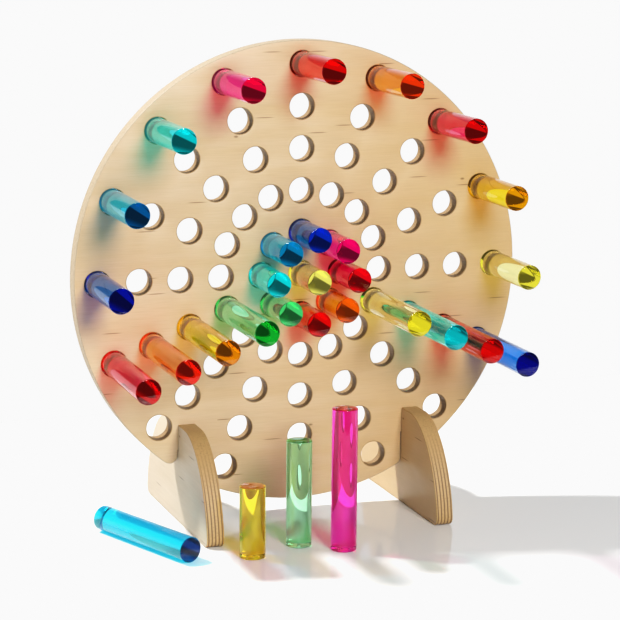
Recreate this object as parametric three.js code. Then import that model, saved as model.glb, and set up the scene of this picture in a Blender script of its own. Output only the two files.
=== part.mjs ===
// A round peg board that stands upright in two slotted feet, with clear coloured pegs of
// three lengths. Millimetres, +Z up. The board faces -Y and X runs across it.
import * as THREE from 'three';

// Pegs: solid acrylic rod, cut square, with a small chamfer at each end
const PEG_DIAMETER = 21.4;
const SHORT_PEG = 60;
const MEDIUM_PEG = 90;
const LONG_PEG = 120;
const PEG_CHAMFER = 0.6;
const PEG_CLEARANCE = 0.4; // around a peg in its hole
const PEG_REAR_RECESS = 3; // from the board's back face in to a seated peg's rear end

// Board: one plywood disc, drilled right through on a centre and five rings
const BOARD_THICKNESS = 15;
const SPOKES = 16;
const HOLES_IN_RING = [1, SPOKES / 2, SPOKES, SPOKES, SPOKES, SPOKES];
const RING_WEB = 13.8; // wood left between the holes of one ring and the next
const RIM_WEB = 8.9; // wood left outside the outer ring's holes
const FLOOR_CLEARANCE = 12; // under the board's lowest point

// Feet: two upright plywood plates across the board, joined to it by cross laps
const FOOT_THICKNESS = 15;
const FOOT_OUTSET = 5.4; // outside the outer ring, midway between two spokes of holes
const FOOT_LENGTH = 184;
const FOOT_CROWN = 54; // flat stretch along the top
const SHOULDER_REACH = 30; // how far the shoulder curve leaves the crown level
const FLANK_LEAN = 5; // how far the flank leans in over its rise
const FLANK_RISE = 42;
const TOE_RADIUS = 8;
const LAP_HEIGHT = 45.4; // from the board's rim up to the top of a foot
const LAP_CLEARANCE = 0.3; // each side of a plate in its notch or slot
const SEAT_GAP = 0.05; // between the end of a notch and the end of the slot it meets
const NOTCH_MOUTH_RADIUS = 7;

// Loose pegs: where they lie on the floor, across the board and ahead of its mid plane
const STANDING_SHORT = { across: -80.8, ahead: 121.6 };
const STANDING_MEDIUM = { across: -34.1, ahead: 103 };
const STANDING_LONG = { across: -2.4, ahead: 125.3 };
const LYING_LONG = { across: -177.8, ahead: 10.7, heading: -68.3 };

// Facets of the round forms
const PEG_FACETS = 24;
const HOLE_FACETS = 24;
const RIM_STEP = THREE.MathUtils.degToRad(2.5);
const MOUTH_STEP = THREE.MathUtils.degToRad(20);
const FOOT_CURVE_FACETS = 14;

// Sizes that follow from the ones above
const PEG_RADIUS = PEG_DIAMETER / 2;
const HOLE_RADIUS = PEG_RADIUS + PEG_CLEARANCE;
const RING_SPACING = 2 * HOLE_RADIUS + RING_WEB;
const OUTER_RING = HOLES_IN_RING.length - 1;
const BOARD_RADIUS = OUTER_RING * RING_SPACING + HOLE_RADIUS + RIM_WEB;
const BOARD_CENTRE = BOARD_RADIUS + FLOOR_CLEARANCE;
const BOARD_BACK = BOARD_THICKNESS / 2;
const SPOKE = (2 * Math.PI) / SPOKES;
const FOOT_FROM_BOTTOM = 1.5 * SPOKE; // round the board, from its lowest point to a foot
const FOOT_ACROSS = (OUTER_RING * RING_SPACING + FOOT_OUTSET) * Math.sin(FOOT_FROM_BOTTOM);
const RIM_AT_FOOT = BOARD_CENTRE - Math.sqrt(BOARD_RADIUS ** 2 - FOOT_ACROSS ** 2);
const FOOT_HEIGHT = RIM_AT_FOOT + LAP_HEIGHT;
const SEAT_HEIGHT = RIM_AT_FOOT + LAP_HEIGHT / 2;
const PEG_LENGTHS = { short: SHORT_PEG, medium: MEDIUM_PEG, long: LONG_PEG };

const QUARTER_TURN = Math.PI / 2;

const BIRCH = 0xdcc39b;
const ACRYLIC = {
  lemon: 0xe8dc2a,
  amber: 0xf0b818,
  orange: 0xef7f1a,
  red: 0xe01f1f,
  crimson: 0xd81f3e,
  magenta: 0xe0208a,
  royal_blue: 0x1f4fb4,
  sky_blue: 0x28b4e8,
  teal: 0x38c4b4,
  green: 0x5fbf5a,
};

// Seated pegs by length and colour, each at its ring and its spoke. Spokes count
// counterclockwise from +X, seen from the front.
const SEATED = {
  short: {
    lemon: { ring: 0, spoke: 0 },
    crimson: { ring: 1, spoke: 0 },
    magenta: { ring: 1, spoke: 2 },
    royal_blue: { ring: 1, spoke: 4 },
    sky_blue: { ring: 1, spoke: 6 },
    teal: { ring: 1, spoke: 8 },
    green: { ring: 1, spoke: 10 },
    red: { ring: 1, spoke: 12 },
    orange: { ring: 1, spoke: 14 },
  },
  medium: {
    lemon: { ring: 5, spoke: 0 },
    amber: { ring: 5, spoke: 1 },
    crimson: { ring: 5, spoke: 2 },
    orange: { ring: 5, spoke: 3 },
    red: { ring: 5, spoke: 4 },
    magenta: { ring: 5, spoke: 5 },
    teal: { ring: 5, spoke: 6 },
    sky_blue: { ring: 5, spoke: 7 },
    royal_blue: { ring: 5, spoke: 8 },
  },
  long: {
    green: { ring: 2, spoke: 9 },
    amber: { ring: 3, spoke: 9 },
    orange: { ring: 4, spoke: 9 },
    crimson: { ring: 5, spoke: 9 },
    lemon: { ring: 2, spoke: 15 },
    teal: { ring: 3, spoke: 15 },
    red: { ring: 4, spoke: 15 },
    royal_blue: { ring: 5, spoke: 15 },
  },
};

function plywood() {
  return new THREE.MeshStandardMaterial({ color: BIRCH, roughness: 0.6, metalness: 0 });
}

function clearAcrylic(colour) {
  return new THREE.MeshStandardMaterial({
    color: ACRYLIC[colour],
    roughness: 0.08,
    metalness: 0,
    transparent: true,
    opacity: 0.6,
  });
}

function named(name, geometry, material) {
  const mesh = new THREE.Mesh(geometry, material);
  mesh.name = name;
  return mesh;
}

// Points along an arc from one angle to another, both ends included
function arcPoints(centreX, centreY, radius, start, end, step) {
  const count = Math.max(1, Math.ceil(Math.abs(end - start) / step));
  const points = [];
  for (let i = 0; i <= count; i += 1) {
    const angle = start + ((end - start) * i) / count;
    const x = centreX + radius * Math.cos(angle);
    const y = centreY + radius * Math.sin(angle);
    points.push(new THREE.Vector2(x, y));
  }
  return points;
}

// Centre of the small arc that rounds a notch's mouth, between a wall and the rim. The side
// is 1 where the wood lies to the wall's right, and -1 where it lies to its left.
function mouthCentre(wall, side) {
  const x = wall + side * NOTCH_MOUTH_RADIUS;
  const y = -Math.sqrt((BOARD_RADIUS - NOTCH_MOUTH_RADIUS) ** 2 - x ** 2);
  return { x, y, angle: Math.atan2(y, x) };
}

// The right half of the board's outline, clockwise from its top to its bottom
function boardHalfOutline() {
  const notchHalf = FOOT_THICKNESS / 2 + LAP_CLEARANCE;
  const outerWall = FOOT_ACROSS + notchHalf;
  const innerWall = FOOT_ACROSS - notchHalf;
  const notchEnd = SEAT_HEIGHT - BOARD_CENTRE;
  const outer = mouthCentre(outerWall, 1);
  const inner = mouthCentre(innerWall, -1);
  return [
    ...arcPoints(0, 0, BOARD_RADIUS, QUARTER_TURN, 0, RIM_STEP),
    ...arcPoints(0, 0, BOARD_RADIUS, 0, outer.angle, RIM_STEP).slice(1),
    ...arcPoints(outer.x, outer.y, NOTCH_MOUTH_RADIUS, outer.angle, -Math.PI, MOUTH_STEP).slice(1),
    new THREE.Vector2(outerWall, notchEnd),
    new THREE.Vector2(innerWall, notchEnd),
    ...arcPoints(inner.x, inner.y, NOTCH_MOUTH_RADIUS, 0, inner.angle, MOUTH_STEP),
    ...arcPoints(0, 0, BOARD_RADIUS, inner.angle, -QUARTER_TURN, RIM_STEP).slice(1),
  ];
}

function holeCentre(ring, spoke) {
  const radius = ring * RING_SPACING;
  return new THREE.Vector2(radius * Math.cos(spoke * SPOKE), radius * Math.sin(spoke * SPOKE));
}

function board() {
  const right = boardHalfOutline();
  const left = right.slice(1, -1).map((point) => new THREE.Vector2(-point.x, point.y)).reverse();
  const outline = new THREE.Shape([...right, ...left]);
  HOLES_IN_RING.forEach((count, ring) => {
    for (let i = 0; i < count; i += 1) {
      const centre = holeCentre(ring, (SPOKES / count) * i);
      const hole = arcPoints(centre.x, centre.y, HOLE_RADIUS, 0, 2 * Math.PI, (2 * Math.PI) / HOLE_FACETS);
      outline.holes.push(new THREE.Path(hole.slice(0, -1)));
    }
  });
  const geometry = new THREE.ExtrudeGeometry(outline, { depth: BOARD_THICKNESS, bevelEnabled: false });
  const mesh = named('board', geometry, plywood());
  mesh.rotation.x = QUARTER_TURN;
  mesh.position.set(0, BOARD_BACK, BOARD_CENTRE);
  return mesh;
}

// A foot's side view: a flat crown, a shoulder that curves down to each toe, a flat sole
// and the slot that takes the board
function footOutline() {
  const half = FOOT_LENGTH / 2;
  const crown = FOOT_CROWN / 2;
  const shoulder = crown + SHOULDER_REACH;
  const flank = half - FLANK_LEAN;
  const flankTop = TOE_RADIUS + FLANK_RISE;
  const slot = BOARD_THICKNESS / 2 + LAP_CLEARANCE;
  const slotEnd = SEAT_HEIGHT - SEAT_GAP;
  const outline = new THREE.Shape();
  outline.moveTo(-slot, slotEnd);
  outline.lineTo(slot, slotEnd);
  outline.lineTo(slot, FOOT_HEIGHT);
  outline.lineTo(crown, FOOT_HEIGHT);
  outline.bezierCurveTo(shoulder, FOOT_HEIGHT, flank, flankTop, half, TOE_RADIUS);
  outline.quadraticCurveTo(half, 0, half - TOE_RADIUS, 0);
  outline.lineTo(TOE_RADIUS - half, 0);
  outline.quadraticCurveTo(-half, 0, -half, TOE_RADIUS);
  outline.bezierCurveTo(-flank, flankTop, -shoulder, FOOT_HEIGHT, -crown, FOOT_HEIGHT);
  outline.lineTo(-slot, FOOT_HEIGHT);
  return outline;
}

function foot(name, across) {
  const geometry = new THREE.ExtrudeGeometry(footOutline(), {
    depth: FOOT_THICKNESS,
    bevelEnabled: false,
    curveSegments: FOOT_CURVE_FACETS,
  });
  const mesh = named(name, geometry, plywood());
  mesh.rotation.set(QUARTER_TURN, 0, QUARTER_TURN, 'ZYX');
  mesh.position.set(across - FOOT_THICKNESS / 2, 0, 0);
  return mesh;
}

// A peg lies along +Y from its own origin
function peg(length, colour) {
  const reach = PEG_LENGTHS[length];
  const profile = [
    new THREE.Vector2(0, 0),
    new THREE.Vector2(PEG_RADIUS - PEG_CHAMFER, 0),
    new THREE.Vector2(PEG_RADIUS, PEG_CHAMFER),
    new THREE.Vector2(PEG_RADIUS, reach - PEG_CHAMFER),
    new THREE.Vector2(PEG_RADIUS - PEG_CHAMFER, reach),
    new THREE.Vector2(0, reach),
  ];
  const geometry = new THREE.LatheGeometry(profile, PEG_FACETS);
  return named(`${length}_${colour}_peg`, geometry, clearAcrylic(colour));
}

function seatedPegs() {
  const pegs = [];
  for (const [length, byColour] of Object.entries(SEATED)) {
    for (const [colour, { ring, spoke }] of Object.entries(byColour)) {
      const centre = holeCentre(ring, spoke);
      const front = BOARD_BACK - PEG_REAR_RECESS - PEG_LENGTHS[length];
      const mesh = peg(length, colour);
      mesh.position.set(centre.x, front, BOARD_CENTRE + centre.y);
      pegs.push(mesh);
    }
  }
  return pegs;
}

function standingPeg(length, colour, place) {
  const mesh = peg(length, colour);
  mesh.rotation.x = QUARTER_TURN;
  mesh.position.set(place.across, -place.ahead, 0);
  return mesh;
}

// The heading turns the peg's run from +X, about the vertical
function lyingPeg(length, colour, place) {
  const mesh = peg(length, colour);
  mesh.rotation.z = THREE.MathUtils.degToRad(place.heading) - QUARTER_TURN;
  mesh.position.set(place.across, -place.ahead, PEG_RADIUS);
  return mesh;
}

const pegBoard = new THREE.Group();
pegBoard.add(board());
pegBoard.add(foot('left_foot', -FOOT_ACROSS));
pegBoard.add(foot('right_foot', FOOT_ACROSS));
pegBoard.add(...seatedPegs());
pegBoard.add(standingPeg('short', 'amber', STANDING_SHORT));
pegBoard.add(standingPeg('medium', 'green', STANDING_MEDIUM));
pegBoard.add(standingPeg('long', 'magenta', STANDING_LONG));
pegBoard.add(lyingPeg('long', 'sky_blue', LYING_LONG));

// The origin is on the floor, under the middle of everything that stands there
const extent = new THREE.Box3().setFromObject(pegBoard, true);
const middle = extent.getCenter(new THREE.Vector3());
pegBoard.position.set(-middle.x, -middle.y, -extent.min.z);

export default pegBoard;
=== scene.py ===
# %% [markdown]
# # A round peg board in birch plywood and clear acrylic
#
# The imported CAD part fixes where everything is. This script gives each piece its finished
# look: the board and the feet become plates with eased edges and plywood layers, and the
# pegs become polished rods of tinted acrylic that light passes through.

import math

import bmesh
import bpy
from mathutils import Matrix, Vector


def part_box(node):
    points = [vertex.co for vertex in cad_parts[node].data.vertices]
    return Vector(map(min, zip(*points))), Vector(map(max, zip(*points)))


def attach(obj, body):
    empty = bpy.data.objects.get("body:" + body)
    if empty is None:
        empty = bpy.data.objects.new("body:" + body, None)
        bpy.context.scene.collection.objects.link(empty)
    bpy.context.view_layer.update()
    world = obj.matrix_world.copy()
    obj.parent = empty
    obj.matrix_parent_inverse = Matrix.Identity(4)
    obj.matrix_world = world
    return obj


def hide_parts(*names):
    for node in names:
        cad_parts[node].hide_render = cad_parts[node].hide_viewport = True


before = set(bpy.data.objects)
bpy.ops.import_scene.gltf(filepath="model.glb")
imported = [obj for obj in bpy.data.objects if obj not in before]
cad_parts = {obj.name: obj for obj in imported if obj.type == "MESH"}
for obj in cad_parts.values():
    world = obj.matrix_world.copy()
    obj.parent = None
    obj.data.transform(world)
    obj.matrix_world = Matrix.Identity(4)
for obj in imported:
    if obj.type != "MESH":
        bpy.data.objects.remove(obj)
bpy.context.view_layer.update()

# %% [markdown]
# ## Driving sizes
#
# The boxes of the CAD nodes give the places. Only what a box can't tell is written down
# here: the hole pattern, the shape of a foot, how far edges are eased, and how finely the
# curves are stepped.

# %% Sizes
MM = 0.001
HOLES_IN_RING = [1, 8, 16, 16, 16, 16]
RING_SPACING = 36 * MM
HOLE_RADIUS = 11.1 * MM
NOTCH_CLEARANCE = 0.3 * MM
NOTCH_MOUTH_RADIUS = 7 * MM
SEAT_HEIGHT = 63.26 * MM
SEAT_GAP = 0.05 * MM
FOOT_CROWN = 54 * MM
SHOULDER_REACH = 30 * MM
FLANK_LEAN = 5 * MM
FLANK_RISE = 42 * MM
TOE_RADIUS = 8 * MM
PEG_RADIUS = 10.7 * MM
LYING_HEADING = math.radians(-68.3)
WOOD_EASE = 0.7 * MM
PEG_EASE = 0.5 * MM
FLOOR_GAP = 0.2 * MM

EASE_STEPS = 3
TOE_STEPS = 8
FLANK_STEPS = 40
ROD_SIDES = 96
RIM_STEP = math.radians(1)
MOUTH_STEP = math.radians(10)
HOLE_STEP = math.radians(6)
SHARP_FROM = math.radians(40)

board_low, board_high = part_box("board")
BOARD_CENTRE = (Vector(board_low) + Vector(board_high)) / 2
BOARD_RADIUS = (board_high[0] - board_low[0]) / 2
BOARD_THICKNESS = board_high[1] - board_low[1]

foot_low, foot_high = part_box("right_foot")
FOOT_ACROSS = (foot_low[0] + foot_high[0]) / 2
FOOT_THICKNESS = foot_high[0] - foot_low[0]
FOOT_LENGTH = foot_high[1] - foot_low[1]
FOOT_HEIGHT = foot_high[2]
print("board radius", round(BOARD_RADIUS, 4), "thickness", round(BOARD_THICKNESS, 4))
print("foot length", round(FOOT_LENGTH, 4), "height", round(FOOT_HEIGHT, 4))

# %% [markdown]
# ## Outlines
#
# A plate is drawn as closed loops of points. The outer loop runs counterclockwise and a
# hole runs clockwise, so that the wood always lies to the left of the line. Three short
# functions give the curves that the loops are put together from.

# %% Curves
def arc(centre, radius, start, end, step):
    """Points along an arc from one angle to another, both ends included."""
    count = max(1, math.ceil(abs(end - start) / step))
    angles = [start + (end - start) * i / count for i in range(count + 1)]
    return [centre + radius * Vector((math.cos(a), math.sin(a))) for a in angles]


def bezier(start, pull_start, pull_end, end, count):
    """Points along a cubic curve, without its first point."""
    points = []
    for i in range(1, count + 1):
        t = i / count
        s = 1 - t
        point = s**3 * start + 3 * s * s * t * pull_start
        points.append(point + 3 * s * t * t * pull_end + t**3 * end)
    return points


def mirrored(points):
    """The same points on the other side of the vertical, in the reverse order."""
    return [Vector((-p.x, p.y)) for p in reversed(points)]


# %% [markdown]
# ### The board's loops
#
# The rim is a circle with two notches that take the feet. Each notch has a rounded mouth.
# Only the right half is drawn, and the left half is its mirror image. The holes lie on
# rings about a centre hole.

# %% The board's loops
def notch_mouth(wall, side):
    """Centre of the arc between a notch wall and the rim, and the angle where it meets the rim."""
    x = wall + side * NOTCH_MOUTH_RADIUS
    y = -math.sqrt((BOARD_RADIUS - NOTCH_MOUTH_RADIUS) ** 2 - x * x)
    return Vector((x, y)), math.atan2(y, x)


def board_outline():
    """The rim with its two notches, drawn about the board's centre."""
    middle = Vector((0, 0))
    half = FOOT_THICKNESS / 2 + NOTCH_CLEARANCE
    inner_wall = FOOT_ACROSS - half
    outer_wall = FOOT_ACROSS + half
    end = SEAT_HEIGHT - BOARD_CENTRE.z
    inner, inner_angle = notch_mouth(inner_wall, -1)
    outer, outer_angle = notch_mouth(outer_wall, 1)
    right = arc(middle, BOARD_RADIUS, -math.pi / 2, inner_angle, RIM_STEP)[:-1]
    right += arc(inner, NOTCH_MOUTH_RADIUS, inner_angle, 0, MOUTH_STEP)
    right += [Vector((inner_wall, end)), Vector((outer_wall, end))]
    right += arc(outer, NOTCH_MOUTH_RADIUS, math.pi, 2 * math.pi + outer_angle, MOUTH_STEP)
    right += arc(middle, BOARD_RADIUS, outer_angle, math.pi / 2, RIM_STEP)[1:]
    return right + mirrored(right)[1:-1]


def board_holes():
    """Every hole of the pattern: a centre hole and five rings."""
    holes = []
    for ring, count in enumerate(HOLES_IN_RING):
        for i in range(count):
            angle = 2 * math.pi * i / count
            centre = ring * RING_SPACING * Vector((math.cos(angle), math.sin(angle)))
            holes.append(arc(centre, HOLE_RADIUS, 2 * math.pi, 0, HOLE_STEP)[:-1])
    return holes


board_loops = [board_outline()] + board_holes()
print("board:", len(board_loops) - 1, "holes,", len(board_loops[0]), "points in the rim")

# %% [markdown]
# ### A foot's loop
#
# A foot stands on a flat sole. Its toes are rounded, and its flanks lean in and curve over
# the shoulders to a flat crown. The slot in the crown takes the board.

# %% A foot's loop
def foot_outline():
    """The front half of a foot and its mirror image, with the slot between them."""
    half = FOOT_LENGTH / 2
    crown = FOOT_CROWN / 2
    slot = BOARD_THICKNESS / 2 + NOTCH_CLEARANCE
    toe = Vector((half, TOE_RADIUS))
    sole = Vector((half - TOE_RADIUS, 0))
    corner = Vector((half, 0))
    top = Vector((crown, FOOT_HEIGHT))
    flank = Vector((half - FLANK_LEAN, TOE_RADIUS + FLANK_RISE))
    shoulder = Vector((crown + SHOULDER_REACH, FOOT_HEIGHT))
    right = [sole]
    right += bezier(sole, sole.lerp(corner, 2 / 3), toe.lerp(corner, 2 / 3), toe, TOE_STEPS)
    right += bezier(toe, flank, shoulder, top, FLANK_STEPS)
    right += [Vector((slot, FOOT_HEIGHT)), Vector((slot, SEAT_HEIGHT - SEAT_GAP))]
    return right + mirrored(right)


foot_loop = foot_outline()
print("foot:", len(foot_loop), "points")

# %% [markdown]
# ## From loops to solid pieces
#
# Each loop is repeated at several depths. Near the two faces it is drawn in a little, along
# a quarter circle, which eases the edge. Strips of faces join the repeats, and the two flat
# faces are then filled in between the loops.

# %% Eased plates
EDGE_SLOT = 1
HOLE_SLOT = 2


def into_wood(loop):
    """For each point, the way into the wood that shifts both neighbouring edges by one."""
    ways = []
    for i, point in enumerate(loop):
        before = (point - loop[i - 1]).normalized()
        after = (loop[(i + 1) % len(loop)] - point).normalized()
        left_before = Vector((-before.y, before.x))
        left_after = Vector((-after.y, after.x))
        ways.append((left_before + left_after) / (1 + left_before.dot(left_after)))
    return ways


def ease_profile(thickness, ease):
    """Pairs of inset and depth from one face to the other."""
    upper = []
    for i in range(EASE_STEPS + 1):
        angle = math.pi / 2 * i / EASE_STEPS
        inset = ease * (1 - math.sin(angle))
        upper.append((inset, thickness / 2 - ease * (1 - math.cos(angle))))
    lower = [(inset, -depth) for inset, depth in upper]
    return lower + upper[::-1]


def ring_edges(bm, ring):
    """The edges around a ring of vertices."""
    return [bm.edges.get((ring[i - 1], ring[i])) for i in range(len(ring))]


def skin(bm, rings):
    """Strips of quads between neighbouring rings, crisp where the easing ends."""
    faces = []
    for low, high in zip(rings, rings[1:]):
        for i in range(len(low)):
            j = (i + 1) % len(low)
            faces.append(bm.faces.new((low[i], low[j], high[j], high[i])))
    for face in faces:
        face.smooth = True
    for ring in (rings[EASE_STEPS], rings[EASE_STEPS + 1]):
        for edge in ring_edges(bm, ring):
            edge.smooth = False
    return faces


def finished(bm, name):
    """Turns the working mesh into an object in the scene."""
    mesh = bpy.data.meshes.new(name)
    bm.to_mesh(mesh)
    bm.free()
    sharp = [edge.use_edge_sharp for edge in mesh.edges]
    mesh.set_sharp_from_angle(angle=SHARP_FROM)
    for edge, was_sharp in zip(mesh.edges, sharp):
        edge.use_edge_sharp = edge.use_edge_sharp or was_sharp
    obj = bpy.data.objects.new(name, mesh)
    bpy.context.scene.collection.objects.link(obj)
    return obj


def plate(name, loops, thickness, place):
    """A flat plate with eased edges. The place turns (along, up, depth) into a point."""
    bm = bmesh.new()
    back_edges = []
    front_edges = []
    for loop in loops:
        ways = into_wood(loop)
        rings = []
        for inset, depth in ease_profile(thickness, WOOD_EASE):
            drawn = [p + way * inset for p, way in zip(loop, ways)]
            rings.append([bm.verts.new(place(p.x, p.y, depth)) for p in drawn])
        for face in skin(bm, rings):
            face.material_index = EDGE_SLOT if loop is loops[0] else HOLE_SLOT
        back_edges += ring_edges(bm, rings[0])
        front_edges += ring_edges(bm, rings[-1])
    for edges in (back_edges, front_edges):
        bmesh.ops.triangle_fill(bm, edges=edges, use_beauty=True)
    bmesh.ops.recalc_face_normals(bm, faces=bm.faces)
    return finished(bm, name)


# %% [markdown]
# ### Rods
#
# A rod is built the same way from circles. Its faces also carry a number, 1 on the round
# side and 0 on the ends, which the acrylic reads further on.

# %% Round rods
def rod(name, length):
    """A round rod from its own origin up +Z, with softly rounded ends."""
    bm = bmesh.new()
    barrel = bm.faces.layers.float.new("barrel")
    turns = [2 * math.pi * i / ROD_SIDES for i in range(ROD_SIDES)]
    rings = []
    for inset, depth in ease_profile(length, PEG_EASE):
        radius = PEG_RADIUS - inset
        height = depth + length / 2
        around = [(radius * math.cos(a), radius * math.sin(a), height) for a in turns]
        rings.append([bm.verts.new(point) for point in around])
    for face in skin(bm, rings):
        face[barrel] = 1
    bm.faces.new(rings[0][::-1])
    bm.faces.new(rings[-1])
    return finished(bm, name)


# %% [markdown]
# ## Shader helpers
#
# A node's inputs are either set to a value or linked to another node's output. These short
# functions hide that difference.

# %% Node helpers
def connect(tree, socket, value):
    """Links an output to the socket, or sets the socket to a plain value."""
    if isinstance(value, bpy.types.NodeSocket):
        tree.links.new(value, socket)
    else:
        socket.default_value = value


def calc(tree, operation, *values):
    """A maths node, and its result."""
    node = tree.nodes.new("ShaderNodeMath")
    node.operation = operation
    for socket, value in zip(node.inputs, values):
        connect(tree, socket, value)
    return node.outputs[0]


def smooth_step(tree, value, low, high):
    """0 at low, 1 at high, and a smooth change between them."""
    node = tree.nodes.new("ShaderNodeMapRange")
    node.interpolation_type = "SMOOTHSTEP"
    connect(tree, node.inputs["Value"], value)
    connect(tree, node.inputs["From Min"], low)
    connect(tree, node.inputs["From Max"], high)
    return node.outputs["Result"]


def split(tree, vector):
    """The three parts of a vector."""
    node = tree.nodes.new("ShaderNodeSeparateXYZ")
    tree.links.new(vector, node.inputs[0])
    return node.outputs


def join(tree, x, y, z):
    """A vector from three parts."""
    node = tree.nodes.new("ShaderNodeCombineXYZ")
    for socket, value in zip(node.inputs, (x, y, z)):
        connect(tree, socket, value)
    return node.outputs[0]


def noise(tree, vector, factors, detail):
    """Noise with its own number of waves to the metre along each axis."""
    stretched = tree.nodes.new("ShaderNodeVectorMath")
    stretched.operation = "MULTIPLY"
    tree.links.new(vector, stretched.inputs[0])
    stretched.inputs[1].default_value = factors
    node = tree.nodes.new("ShaderNodeTexNoise")
    tree.links.new(stretched.outputs[0], node.inputs["Vector"])
    node.inputs["Scale"].default_value = 1
    node.inputs["Detail"].default_value = detail
    return node.outputs["Fac"]


def blend(tree, amount, first, second):
    """Two colours mixed by an amount."""
    node = tree.nodes.new("ShaderNodeMix")
    node.data_type = "RGBA"
    connect(tree, node.inputs["Factor"], amount)
    connect(tree, node.inputs["A"], first)
    connect(tree, node.inputs["B"], second)
    return node.outputs["Result"]


def stain(tree, mask, strength, colour, tint):
    """The colour, stained with a tint where the mask is."""
    return blend(tree, calc(tree, "MULTIPLY", mask, strength), colour, tint)


def shader_group(name, inputs, outputs):
    """An empty node group with the given sockets, and its input and output sockets."""
    group = bpy.data.node_groups.new(name, "ShaderNodeTree")
    for label, kind in inputs.items():
        group.interface.new_socket(label, in_out="INPUT", socket_type=kind)
    for label, kind in outputs.items():
        group.interface.new_socket(label, in_out="OUTPUT", socket_type=kind)
    given = group.nodes.new("NodeGroupInput").outputs
    result = group.nodes.new("NodeGroupOutput").inputs
    return group, given, result


def use_group(tree, group, **values):
    """Places a group in a tree, with its own values."""
    node = tree.nodes.new("ShaderNodeGroup")
    node.node_tree = group
    for label, value in values.items():
        connect(tree, node.inputs[label], value)
    return node.outputs


def new_material(name):
    """A material, its node tree and its Principled node."""
    material = bpy.data.materials.new(name)
    material.use_nodes = True
    return material, material.node_tree, material.node_tree.nodes["Principled BSDF"]


# %% [markdown]
# ## Birch plywood
#
# Three shared effects make the wood. The first is marks: short dark dashes and small knots,
# thrown one to a cell over the veneer. A cell's random colour decides whether it has one.

# %% Marks in the veneer
MARK_FADE = (1.0, 0.35)


def make_marks_group():
    """A mask of oval marks, at most one to a cell."""
    group, given, result = shader_group(
        "veneer_marks",
        {
            "Vector": "NodeSocketVector",
            "Cells": "NodeSocketFloat",
            "Length": "NodeSocketFloat",
            "Width": "NodeSocketFloat",
            "Share": "NodeSocketFloat",
        },
        {"Mask": "NodeSocketFloat"},
    )
    cells = group.nodes.new("ShaderNodeTexVoronoi")
    cells.voronoi_dimensions = "2D"
    group.links.new(given["Vector"], cells.inputs["Vector"])
    group.links.new(given["Cells"], cells.inputs["Scale"])
    away = group.nodes.new("ShaderNodeVectorMath")
    away.operation = "SUBTRACT"
    group.links.new(given["Vector"], away.inputs[0])
    group.links.new(cells.outputs["Position"], away.inputs[1])
    offset = split(group, away.outputs[0])
    along = calc(group, "DIVIDE", offset["X"], given["Length"])
    across = calc(group, "DIVIDE", offset["Y"], given["Width"])
    along_squared = calc(group, "MULTIPLY", along, along)
    across_squared = calc(group, "MULTIPLY", across, across)
    distance = calc(group, "SQRT", calc(group, "ADD", along_squared, across_squared))
    inside = smooth_step(group, distance, *MARK_FADE)
    tint = split(group, cells.outputs["Color"])
    chosen = calc(group, "LESS_THAN", tint["X"], given["Share"])
    group.links.new(calc(group, "MULTIPLY", inside, chosen), result["Mask"])
    return group


marks_group = make_marks_group()
print("shared effect:", marks_group.name)

# %% [markdown]
# ### Figure and layers
#
# Figure is the soft clouding of the veneer and its fine streaks along the grain. Layers are
# the dark cross plies that show on every cut edge, with a slight waver and short fibres.

# %% Figure and layers
CLOUD_WAVES = (5, 11, 9)
GRAIN_WAVES = (7, 90, 40)
STREAK_WAVES = (45, 1500, 900)
CLOUD_SHARE = 0.6
TONE_REACH = (0.3, 0.7)
WAVER_WAVES = (25, 25, 25)
WAVER = 0.03
DARK_SWING = (0.05, -0.75)
FIBRE_WAVES = (700, 700, 700)


def make_figure_group():
    """How dark the veneer's tone is, and its streaks."""
    group, given, result = shader_group(
        "veneer_figure",
        {"Vector": "NodeSocketVector"},
        {"Tone": "NodeSocketFloat", "Streak": "NodeSocketFloat"},
    )
    cloud = calc(group, "MULTIPLY", noise(group, given["Vector"], CLOUD_WAVES, 2), CLOUD_SHARE)
    grain = calc(group, "MULTIPLY", noise(group, given["Vector"], GRAIN_WAVES, 3), 1 - CLOUD_SHARE)
    tone = smooth_step(group, calc(group, "ADD", cloud, grain), *TONE_REACH)
    group.links.new(tone, result["Tone"])
    group.links.new(noise(group, given["Vector"], STREAK_WAVES, 2), result["Streak"])
    return group


def make_layers_group():
    """Where the dark plies are, from a depth that runs from -0.5 to 0.5 through the plate."""
    group, given, result = shader_group(
        "ply_layers",
        {
            "Vector": "NodeSocketVector",
            "Depth": "NodeSocketFloat",
            "Plies": "NodeSocketFloat",
        },
        {"Dark": "NodeSocketFloat", "Fibre": "NodeSocketFloat"},
    )
    waver = calc(group, "SUBTRACT", noise(group, given["Vector"], WAVER_WAVES, 2), 0.5)
    depth = calc(group, "ADD", given["Depth"], calc(group, "MULTIPLY", waver, WAVER))
    turns = calc(group, "MULTIPLY", calc(group, "ADD", depth, 0.5), given["Plies"])
    swing = calc(group, "COSINE", calc(group, "MULTIPLY", turns, 2 * math.pi))
    group.links.new(smooth_step(group, swing, *DARK_SWING), result["Dark"])
    group.links.new(noise(group, given["Vector"], FIBRE_WAVES, 3), result["Fibre"])
    return group


figure_group = make_figure_group()
layers_group = make_layers_group()
print("shared effects:", figure_group.name, "and", layers_group.name)
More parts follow.
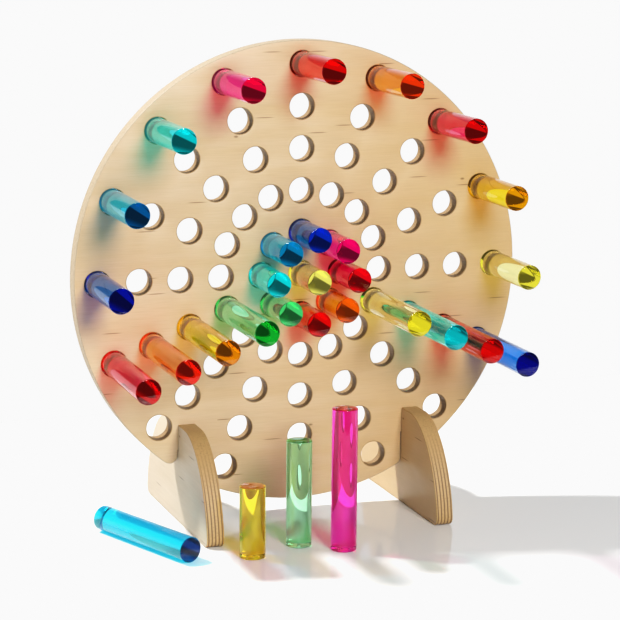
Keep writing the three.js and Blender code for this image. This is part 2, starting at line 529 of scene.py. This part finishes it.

# %% [markdown]
# ### Wood materials
#
# The veneer is pale birch, made darker and more golden towards the right. A cut edge shows
# the plies.
# The hole walls are painted darker than the board's rim, painted shade inside the holes, and
# the rim's plies are fainter. On the feet the plies are clear near the sole and gone at the
# crown.

# %% Wood materials
BOARD_TONES = {
    "light": (0.63, 0.478, 0.325, 1),
    "dark": (0.57, 0.405, 0.235, 1),
    "golden": (0.55, 0.355, 0.145, 1),
    "golden_strength": 0.6,
}
FOOT_TONES = {
    "light": (0.63, 0.53, 0.405, 1),
    "dark": (0.57, 0.46, 0.325, 1),
    "golden": (0.565, 0.375, 0.178, 1),
    "golden_strength": 0.97,
}
MARK_COLOUR = (0.20, 0.115, 0.05, 1)
FOOT_EDGE = (0.48, 0.315, 0.145, 1)
BOARD_RIM = (0.46, 0.365, 0.25, 1)
# The hole walls are darker than the rim: painted shade inside the holes.
SHADED_HOLE_WALL = (0.36, 0.235, 0.11, 1)
CROSS_PLY = (0.12, 0.065, 0.025, 1)
VENEER_ROUGHNESS = 0.42
EDGE_ROUGHNESS = 0.55

DASHES = {"Cells": 28.0, "Length": 11 * MM, "Width": 0.6 * MM, "Share": 0.4}
KNOTS = {"Cells": 15.0, "Length": 2.6 * MM, "Width": 1.3 * MM, "Share": 0.26}
MARK_STRENGTH = 0.75
STREAK_STRENGTH = 0.10
STREAK_REACH = (0.35, 0.75)
GOLDEN_REACH = (-0.12, 0.2)

CROSS_PLIES = 5.0
RIM_CONTRAST = 0.35
WALL_CONTRAST = 0.85
FOOT_CONTRAST = 0.8
FOOT_PLIES_FADE = (85 * MM, 30 * MM)
FIBRE_STRENGTH = 0.3
FIBRE_REACH = (0.45, 0.8)


def object_parts(tree):
    """The three object coordinates."""
    coordinates = tree.nodes.new("ShaderNodeTexCoord")
    return split(tree, coordinates.outputs["Object"])


def plate_vector(tree, axes):
    """Object coordinates re-ordered as along, up and depth."""
    parts = object_parts(tree)
    return join(tree, *(parts[axis] for axis in axes))


def veneer(name, axes, light, dark, golden, golden_strength):
    """The face of a plate, darker and more golden towards the right."""
    material, tree, surface = new_material(name)
    vector = plate_vector(tree, axes)
    figure = use_group(tree, figure_group, Vector=vector)
    dashes = use_group(tree, marks_group, Vector=vector, **DASHES)
    knots = use_group(tree, marks_group, Vector=vector, **KNOTS)
    to_right = smooth_step(tree, object_parts(tree)["X"], *GOLDEN_REACH)
    streak = smooth_step(tree, figure["Streak"], *STREAK_REACH)
    colour = blend(tree, figure["Tone"], light, dark)
    colour = stain(tree, to_right, golden_strength, colour, golden)
    colour = stain(tree, streak, STREAK_STRENGTH, colour, MARK_COLOUR)
    colour = stain(tree, dashes["Mask"], MARK_STRENGTH, colour, MARK_COLOUR)
    colour = stain(tree, knots["Mask"], MARK_STRENGTH, colour, MARK_COLOUR)
    tree.links.new(colour, surface.inputs["Base Color"])
    surface.inputs["Roughness"].default_value = VENEER_ROUGHNESS
    return material


def cut_edge(name, axes, ply, contrast, middle, thickness, fade=None):
    """A cut edge. The middle is the depth of the middle ply, the fade two heights."""
    material, tree, surface = new_material(name)
    vector = plate_vector(tree, axes)
    distance = calc(tree, "ABSOLUTE", split(tree, vector)["Z"])
    depth = calc(tree, "DIVIDE", calc(tree, "SUBTRACT", distance, middle), thickness)
    layers = use_group(tree, layers_group, Vector=vector, Depth=depth, Plies=CROSS_PLIES)
    fibre = smooth_step(tree, layers["Fibre"], *FIBRE_REACH)
    dark = layers["Dark"]
    if fade:
        clear = smooth_step(tree, split(tree, vector)["Y"], *fade)
        dark = calc(tree, "MULTIPLY", dark, clear)
    colour = stain(tree, dark, contrast, ply, CROSS_PLY)
    colour = stain(tree, fibre, FIBRE_STRENGTH, colour, CROSS_PLY)
    tree.links.new(colour, surface.inputs["Base Color"])
    surface.inputs["Roughness"].default_value = EDGE_ROUGHNESS
    return material


board_depth = (BOARD_CENTRE.y, BOARD_THICKNESS)
foot_depth = (FOOT_ACROSS, FOOT_THICKNESS)
board_materials = [
    veneer("board_veneer", "XZY", **BOARD_TONES),
    cut_edge("board_rim", "XZY", BOARD_RIM, RIM_CONTRAST, *board_depth),
    # The hole walls carry painted shade.
    cut_edge("shaded_hole_wall", "XZY", SHADED_HOLE_WALL, WALL_CONTRAST, *board_depth),
]
foot_materials = [
    veneer("foot_veneer", "YZX", **FOOT_TONES),
    cut_edge("foot_edge", "YZX", FOOT_EDGE, FOOT_CONTRAST, *foot_depth, FOOT_PLIES_FADE),
]
print("wood:", [material.name for material in board_materials + foot_materials])

# %% [markdown]
# ## Clear acrylic
#
# The tint sits in the depth of the rod, not on its skin: a volume absorbs light, so a look
# along a peg is far deeper in colour than a look across it. Each colour is given as the
# share of red, green and blue light left after one crossing.
#
# Lamp light and diffuse light go straight through a rod, which makes the coloured shadows.
# A rod spreads the light that it lets through, so from some centimetres on its shadow turns
# grey. Light that has been thrown back three times inside a rod leaves it straight on as
# well, because the renderer would give up such a ray and show black. The round side of some
# colours gets a faint emission, painted light that brightens it.

# %% Acrylic materials
ACRYLIC_IOR = 1.49
CROSSING = 2 * PEG_RADIUS
LAMP_SHARE = 0.92
LAMP_TINT = 0.4
SPREAD = (60 * MM, 120 * MM)
FAR_SHADE = (0.4, 0.4, 0.4, 1)
THROWN_BACK = 3
LEFT_AFTER_CROSSING = {
    "lemon": (0.96, 0.94, 0.54),
    "amber": (0.95, 0.78, 0.04),
    "orange": (0.97, 0.50, 0.02),
    "red": (0.92, 0.07, 0.03),
    "crimson": (0.92, 0.02, 0.19),
    "magenta": (0.95, 0.04, 0.52),
    "royal_blue": (0.03, 0.29, 0.77),
    "sky_blue": (0.03, 0.60, 0.76),
    "teal": (0.11, 0.88, 0.89),
    "green": (0.42, 0.86, 0.56),
}
# Painted light: strength of a faint emission on the round side of these colours.
BARREL_PAINTED_LIGHT = {"magenta": 0.1, "royal_blue": 0.09, "sky_blue": 0.26, "teal": 0.14, "green": 0.08}
PAINTED_LIGHT_DEPTH = 1.5


def outside_of_barrel(tree):
    """1 on the round side seen from outside, and no more than 0 on the ends and from within."""
    barrel = tree.nodes.new("ShaderNodeAttribute")
    barrel.attribute_name = "barrel"
    side = tree.nodes.new("ShaderNodeNewGeometry")
    return calc(tree, "SUBTRACT", barrel.outputs["Fac"], side.outputs["Backfacing"])


def add_painted_light(tree, surface, colour):
    """Paints light on the round side: a faint emission in the rod's colour."""
    shares = LEFT_AFTER_CROSSING[colour]
    lit = [share**PAINTED_LIGHT_DEPTH for share in shares] + [1]
    # Painted light: the emission falls only on the round side seen from outside.
    painted_light = blend(tree, outside_of_barrel(tree), (0, 0, 0, 1), lit)
    tree.links.new(painted_light, surface.inputs["Emission Color"])
    surface.inputs["Emission Strength"].default_value = BARREL_PAINTED_LIGHT[colour]


def let_through(tree, path, shares):
    """What a face lets through straight on: tinted close behind the rod, grey far behind it."""
    close_by = [LAMP_SHARE * share**LAMP_TINT for share in shares] + [1]
    spread = smooth_step(tree, path["Ray Length"], *SPREAD)
    far = calc(tree, "MULTIPLY", spread, path["Is Shadow Ray"])
    return blend(tree, far, close_by, FAR_SHADE)


def goes_straight(tree, path):
    """1 for lamp light, for diffuse light and for light thrown back too often."""
    lamp_or_bounce = calc(tree, "MAXIMUM", path["Is Shadow Ray"], path["Is Diffuse Ray"])
    trapped = calc(tree, "GREATER_THAN", path["Glossy Depth"], THROWN_BACK - 0.5)
    return calc(tree, "MAXIMUM", lamp_or_bounce, trapped)


def dye(tree, shares):
    """The volume that takes up light on its way."""
    losses = [-math.log(share) / CROSSING for share in shares]
    density = max(losses)
    tint = tree.nodes.new("ShaderNodeVolumeAbsorption")
    tint.inputs["Color"].default_value = [1 - loss / density for loss in losses] + [1]
    tint.inputs["Density"].default_value = density
    return tint.outputs[0]


def acrylic(colour):
    """Polished acrylic in one colour."""
    material, tree, surface = new_material("acrylic_" + colour)
    shares = LEFT_AFTER_CROSSING[colour]
    surface.inputs["Base Color"].default_value = (1, 1, 1, 1)
    surface.inputs["Transmission Weight"].default_value = 1
    surface.inputs["Roughness"].default_value = 0
    surface.inputs["IOR"].default_value = ACRYLIC_IOR
    if colour in BARREL_PAINTED_LIGHT:
        add_painted_light(tree, surface, colour)
    path = tree.nodes.new("ShaderNodeLightPath").outputs
    clear = tree.nodes.new("ShaderNodeBsdfTransparent")
    tree.links.new(let_through(tree, path, shares), clear.inputs["Color"])
    mix = tree.nodes.new("ShaderNodeMixShader")
    tree.links.new(goes_straight(tree, path), mix.inputs["Fac"])
    tree.links.new(surface.outputs[0], mix.inputs[1])
    tree.links.new(clear.outputs[0], mix.inputs[2])
    output = tree.nodes["Material Output"]
    tree.links.new(mix.outputs[0], output.inputs["Surface"])
    tree.links.new(dye(tree, shares), output.inputs["Volume"])
    return material


acrylics = {colour: acrylic(colour) for colour in LEFT_AFTER_CROSSING}
print(len(acrylics), "acrylic colours")

# %% [markdown]
# ## The wooden pieces
#
# Each plate stands for its CAD node and moves with that node's body.

# %% Board and feet
def stand_for(obj, node):
    """Puts a piece in the place of a CAD node, on the same body."""
    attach(obj, node)
    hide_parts(node)


def build_board():
    """The board lies in the XZ plane, with its depth along -Y."""

    def place(along, up, depth):
        return BOARD_CENTRE + Vector((along, -depth, up))

    obj = plate("birch_board", board_loops, BOARD_THICKNESS, place)
    for material in board_materials:
        obj.data.materials.append(material)
    stand_for(obj, "board")
    return obj


def build_foot(node, across):
    """A foot lies in the YZ plane, with its depth along X."""

    def place(along, up, depth):
        return Vector((across + depth, BOARD_CENTRE.y + along, up))

    obj = plate("birch_" + node, [foot_loop], FOOT_THICKNESS, place)
    for material in foot_materials:
        obj.data.materials.append(material)
    stand_for(obj, node)
    return obj


wood = [build_board()]
wood.append(build_foot("left_foot", -FOOT_ACROSS))
wood.append(build_foot("right_foot", FOOT_ACROSS))
print("wooden pieces:", [(obj.name, len(obj.data.polygons)) for obj in wood])

# %% [markdown]
# ## The pegs
#
# A seated peg lies along Y, a standing one along Z, and one peg lies on the floor at a slant.
# The box of its CAD node tells which, how long it is and where it goes.

# %% Pegs
THICKEST_ROD = 2.1 * PEG_RADIUS


def peg_place(low, high):
    """The length of the peg in a box, and the matrix that puts a rod there."""
    size = high - low
    middle = (low + high) / 2
    if size.z > THICKEST_ROD:
        length = size.z
        way = Vector((0, 0, 1))
    elif size.x < THICKEST_ROD:
        length = size.y
        way = Vector((0, 1, 0))
    else:
        way = Vector((math.cos(LYING_HEADING), math.sin(LYING_HEADING), 0))
        length = (size.x - 2 * PEG_RADIUS * abs(way.y)) / abs(way.x)
    turn = way.to_track_quat("Z", "Y").to_matrix().to_4x4()
    return length, Matrix.Translation(middle - way * length / 2) @ turn


def build_peg(node):
    """A rod in the colour that the node's name gives, as in long_sky_blue_peg."""
    colour = node.split("_", 1)[1].removesuffix("_peg")
    low, high = (Vector(corner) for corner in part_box(node))
    length, place = peg_place(low, high)
    obj = rod("clear_" + node, length)
    obj.data.transform(place)
    obj.data.materials.append(acrylics[colour])
    stand_for(obj, node)
    return obj


pegs = [build_peg(node) for node in sorted(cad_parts) if node.endswith("_peg")]
print(len(pegs), "pegs")

# %% [markdown]
# ## Studio
#
# A pale glossy floor lies a little under the part, so that the undersides of the rods don't
# coincide with it.

# %% Floor
FLOOR_COLOUR = (0.83, 0.83, 0.825, 1)
FLOOR_ROUGHNESS = 0.1
FLOOR_IOR = 1.4
FLOOR_CORNERS = [(-4, -0.5), (4, -0.5), (4, 0.4), (-4, 0.4)]


def build_floor():
    """One flat face that belongs to the studio, not to the part."""
    bm = bmesh.new()
    bm.faces.new([bm.verts.new((x, y, -FLOOR_GAP)) for x, y in FLOOR_CORNERS])
    obj = finished(bm, "floor")
    material, tree, surface = new_material("floor_white")
    surface.inputs["Base Color"].default_value = FLOOR_COLOUR
    surface.inputs["Roughness"].default_value = FLOOR_ROUGHNESS
    surface.inputs["IOR"].default_value = FLOOR_IOR
    obj.data.materials.append(material)
    return obj


floor = build_floor()
print("stage:", floor.name)

# %% [markdown]
# ### The room
#
# The room is a plain background whose brightness depends on the direction. It is white low
# behind the object and to the right, dim above on the left and in front, and white again
# low on the far left, which lifts the shaded faces of the feet.

# %% Room
ROOM_WHITE = 0.9
ROOM_DIM = 0.1
LEAST_WHITE_BEHIND = 0.1
BEHIND = (-0.35, 0.25)
RIGHT = (-0.25, 0.3)
UNDER_CEILING = (0.6, 0.35)
BELOW_HORIZON = (0.06, 0.0)
FAR_LEFT = (-0.35, -0.75)
LOW = (0.4, 0.1)


def white_behind(tree, way):
    """White behind the object: a low wall on the right, and everything below the horizon."""
    behind = smooth_step(tree, way["Y"], *BEHIND)
    right = smooth_step(tree, way["X"], *RIGHT)
    under_ceiling = smooth_step(tree, way["Z"], *UNDER_CEILING)
    below_horizon = smooth_step(tree, way["Z"], *BELOW_HORIZON)
    wall = calc(tree, "MULTIPLY", right, under_ceiling)
    white = calc(tree, "MAXIMUM", wall, below_horizon)
    white = calc(tree, "MAXIMUM", white, LEAST_WHITE_BEHIND)
    return calc(tree, "MULTIPLY", behind, white)


def white_on_left(tree, way):
    """A low white wall on the far left."""
    left = smooth_step(tree, way["X"], *FAR_LEFT)
    low = smooth_step(tree, way["Z"], *LOW)
    return calc(tree, "MULTIPLY", left, low)


def build_room():
    """The background light."""
    world = bpy.data.worlds.new("room")
    world.use_nodes = True
    tree = world.node_tree
    coordinates = tree.nodes.new("ShaderNodeTexCoord")
    way = split(tree, coordinates.outputs["Generated"])
    white = calc(tree, "MAXIMUM", white_behind(tree, way), white_on_left(tree, way))
    light = calc(tree, "ADD", calc(tree, "MULTIPLY", white, ROOM_WHITE), ROOM_DIM)
    tree.links.new(light, tree.nodes["Background"].inputs["Strength"])
    tree.nodes["Background"].inputs["Color"].default_value = (1, 1, 1, 1)
    bpy.context.scene.world = world
    return world


print("background:", build_room().name)

# %% [markdown]
# ### Lamps
#
# A small lamp high behind on the left throws the long floor shadow. A softbox in front, not
# far above the object, throws the short coloured shadows of the pegs on the board.

# %% Lamps
BACK_LAMP = {"place": (-1.33, 0.90, 2.2), "aim": (0, 0, 0.15), "size": 0.18, "watts": 106}
FRONT_SOFTBOX = {"place": (0.12, -2.0, 1.1), "aim": (0, 0, 0.2), "size": 0.75, "watts": 48}


def build_lamp(name, place, aim, size, watts):
    """A round area lamp that faces its aim."""
    lamp = bpy.data.lights.new(name, "AREA")
    lamp.shape = "DISK"
    lamp.size = size
    lamp.energy = watts
    obj = bpy.data.objects.new(name, lamp)
    towards = Vector(aim) - Vector(place)
    turn = towards.to_track_quat("-Z", "Y").to_matrix().to_4x4()
    obj.matrix_world = Matrix.Translation(place) @ turn
    bpy.context.scene.collection.objects.link(obj)
    return obj


lamps = [build_lamp("back_lamp", **BACK_LAMP), build_lamp("front_softbox", **FRONT_SOFTBOX)]
print("lamps:", [lamp.name for lamp in lamps])

# %% [markdown]
# ## Camera
#
# The place and the turn come from a fit to the rims of the empty holes and the peg ends.

# %% Camera
CAMERA_PLACE = Vector((-0.6311, -1.76489, 0.55726))
CAMERA_YAW = math.radians(19.774)
CAMERA_PITCH = math.radians(-11.31)
CAMERA_ROLL = math.radians(0.479)
CAMERA_LENS = 129.41
CAMERA_SENSOR = 36


def build_camera():
    """The camera of the main picture."""
    data = bpy.data.cameras.new("camera")
    data.lens = CAMERA_LENS
    data.sensor_width = CAMERA_SENSOR
    obj = bpy.data.objects.new("camera", data)
    yaw = Matrix.Rotation(-CAMERA_YAW, 4, "Z")
    pitch = Matrix.Rotation(math.pi / 2 + CAMERA_PITCH, 4, "X")
    roll = Matrix.Rotation(CAMERA_ROLL, 4, "Z")
    obj.matrix_world = Matrix.Translation(CAMERA_PLACE) @ yaw @ pitch @ roll
    bpy.context.scene.collection.objects.link(obj)
    bpy.context.scene.camera = obj
    return obj


print("camera with a lens of", build_camera().data.lens, "mm")

# %% [markdown]
# ## Print curve
#
# The picture is shown through a gentle curve that deepens the darks and keeps white a little
# under full, as on paper.

# %% Print curve
DEEPER_DARKS = ((0.07, 0.047), (0.3, 0.285), (0.65, 0.66))
PAPER_WHITE = 0.956
COMBINED = 3


def set_print_curve():
    """Sets the curve for all three colours together."""
    view = bpy.context.scene.view_settings
    view.view_transform = "Standard"
    view.use_curve_mapping = True
    view.curve_mapping.extend = "HORIZONTAL"
    curve = view.curve_mapping.curves[COMBINED]
    curve.points[-1].location = (1, PAPER_WHITE)
    for given, shown in DEEPER_DARKS:
        curve.points.new(given, shown)
    view.curve_mapping.update()
    return len(curve.points)


print("print curve through", set_print_curve(), "points")
